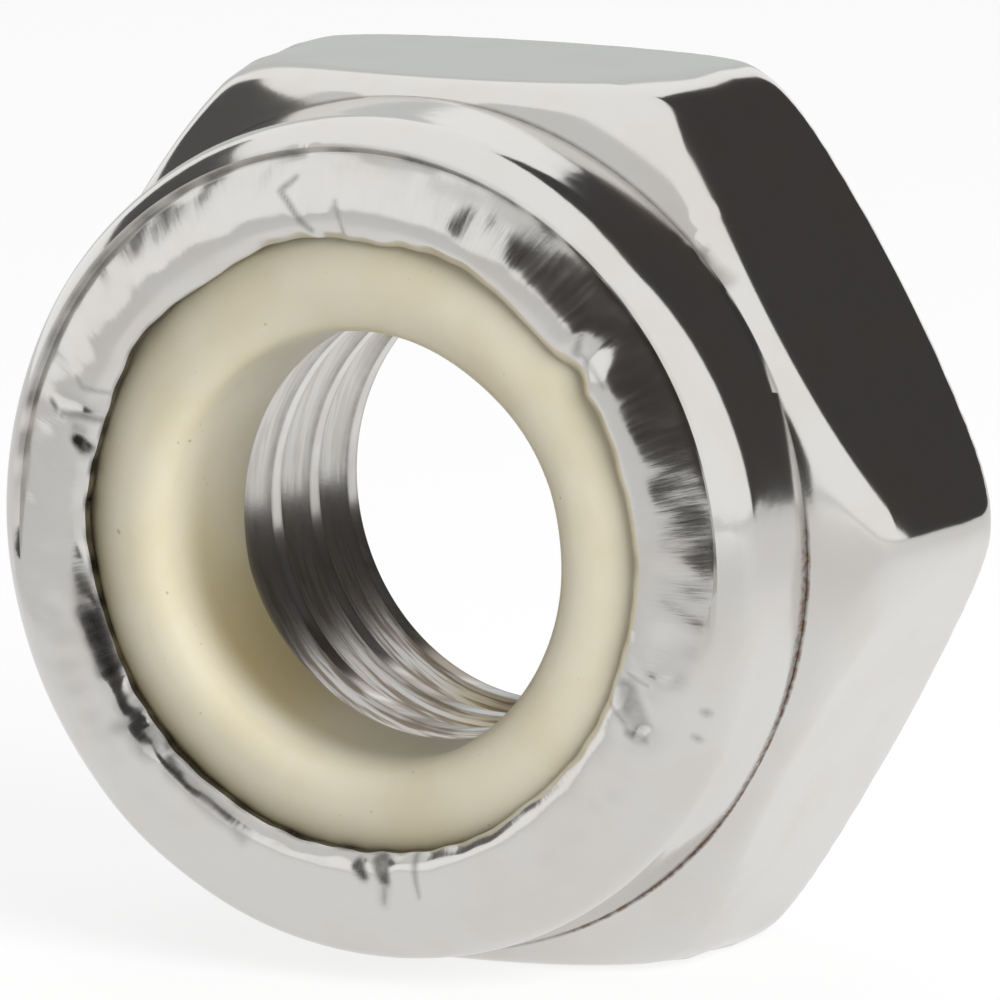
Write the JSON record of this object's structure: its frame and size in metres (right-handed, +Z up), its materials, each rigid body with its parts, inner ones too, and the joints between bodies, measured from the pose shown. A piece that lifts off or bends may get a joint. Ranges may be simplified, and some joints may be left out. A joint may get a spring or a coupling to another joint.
{
  "type": "nylon insert lock nut",
  "caption": "Hexagon lock nut with a crimped round collar that traps a ring of ivory nylon, polished stainless steel.",
  "frame": {"origin": "centre of the bearing face, on the thread's axis", "axes": "+Y along the thread's axis, out of the bearing face; the crimped collar points to -Y; +Z up, and the nut stands on the hexagon flat that faces -Z"},
  "size_m": [0.0194, 0.0089, 0.017],
  "materials": {
    "stainless_steel": "tumble-polished stainless steel",
    "nylon": "natural nylon with a soft gloss"
  },
  "bodies": {
    "root": {"nut_body": "stainless_steel", "nylon_insert": "nylon"}
  },
  "joints": []
}
